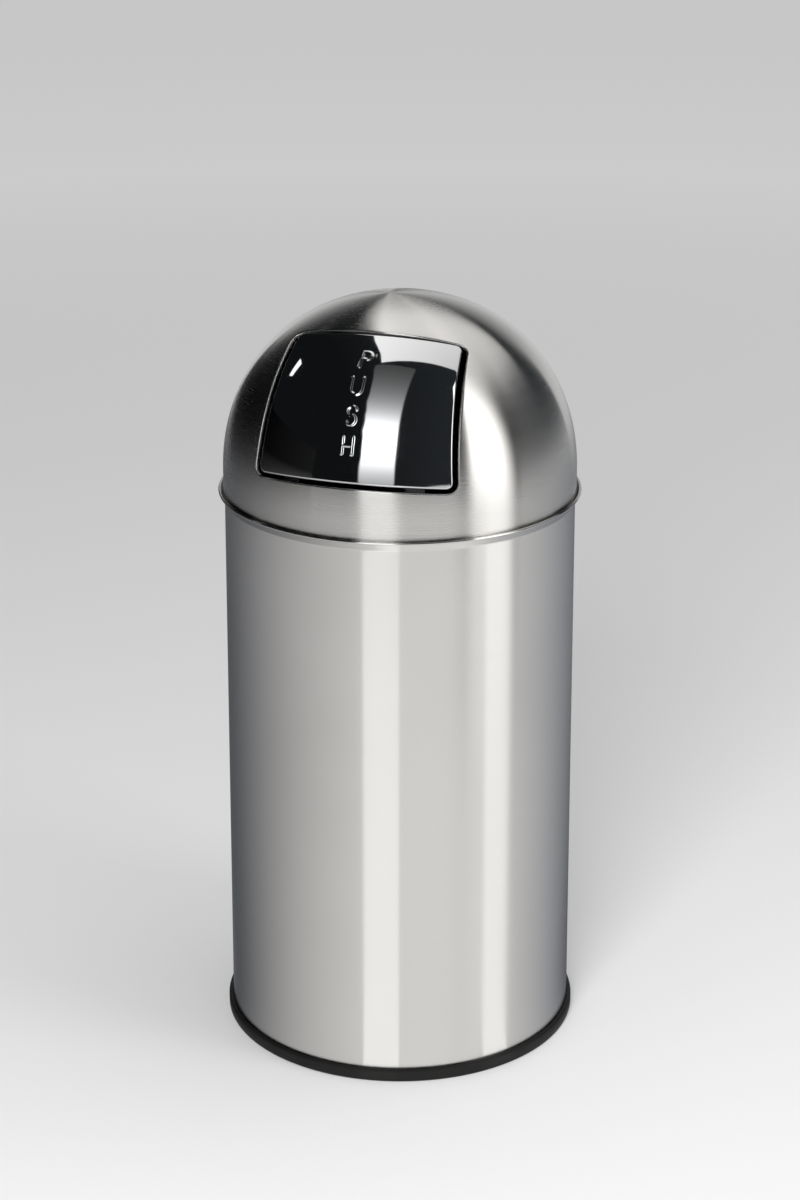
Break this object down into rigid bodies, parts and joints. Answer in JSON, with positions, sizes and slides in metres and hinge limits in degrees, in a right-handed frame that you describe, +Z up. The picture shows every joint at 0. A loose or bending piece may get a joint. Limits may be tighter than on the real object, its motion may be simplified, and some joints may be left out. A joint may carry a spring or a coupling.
{
  "type": "dome top waste receptacle",
  "caption": "Round free-standing bin: brushed steel tube on a rubber base ring, lift-off dome with a sprung push flap, and a galvanised inner bucket with a wire bail.",
  "frame": {"origin": "on the bin's axis, at the height of the floor that it stands on", "axes": "+Z up along the bin's axis, -Y out through the push flap, +X to the right of someone who faces the flap"},
  "size_m": [0.3524, 0.3524, 0.7408],
  "materials": {
    "brushed_stainless": "circumferentially brushed satin stainless sheet",
    "mirror_stainless": "mirror-polished stainless sheet",
    "galvanised_sheet": "hot-dip galvanised sheet with spangle",
    "zinc_plate": "bright zinc plate",
    "spring_steel": "drawn steel, oiled",
    "black_rubber": "satin moulded rubber",
    "white_nylon": "matt turned nylon"
  },
  "bodies": {
    "bin": {"body_shell": "brushed_stainless", "base_ring": "black_rubber", "base_plate": "galvanised_sheet"},
    "liner": {"liner_wall": "galvanised_sheet", "liner_bottom": "galvanised_sheet", "bail_ear_left": "zinc_plate", "bail_ear_right": "zinc_plate", "ear_rivet_left_front": "zinc_plate", "ear_rivet_left_rear": "zinc_plate", "ear_rivet_right_front": "zinc_plate", "ear_rivet_right_rear": "zinc_plate"},
    "bail": {"bail_handle": "zinc_plate"},
    "lid": {"dome_shell": "brushed_stainless", "lid_collar": "brushed_stainless", "hinge_bracket_left": "zinc_plate", "hinge_bracket_right": "zinc_plate", "stop_bumper_left": "black_rubber", "stop_bumper_right": "black_rubber", "hinge_pin": "spring_steel", "pin_clip_left": "spring_steel", "pin_clip_right": "spring_steel", "hinge_washer_left": "white_nylon", "hinge_washer_right": "white_nylon", "torsion_spring": "spring_steel"},
    "flap": {"flap_panel": "mirror_stainless", "flap_ear_left": "zinc_plate", "flap_ear_right": "zinc_plate", "stop_tab_left": "zinc_plate", "stop_tab_right": "zinc_plate"}
  },
  "joints": [
    {"name": "lid_lift", "type": "slide", "parent": "bin", "child": "lid", "axis": [0, 0, 1], "range_m": [0, 1.15]},
    {"name": "liner_lift", "type": "slide", "parent": "bin", "child": "liner", "axis": [0, 0, 1], "range_m": [0, 0.575]},
    {"name": "bail_swing", "type": "hinge", "parent": "liner", "child": "bail", "pos_m": [0, 0, 0.4971], "axis": [1, 0, 0], "range_deg": [0, 216]},
    {"name": "flap_swing", "type": "hinge", "parent": "lid", "child": "flap", "pos_m": [0, -0.06896, 0.70362], "axis": [1, 0, 0], "range_deg": [0, 60], "stiffness_Nm_per_rad": 0.25, "springref_deg": -68.75, "deforming": ["torsion_spring"]}
  ],
  "couplings": [
    {"joint": "liner_lift", "follows": "lid_lift", "ratio": 0.5}
  ]
}
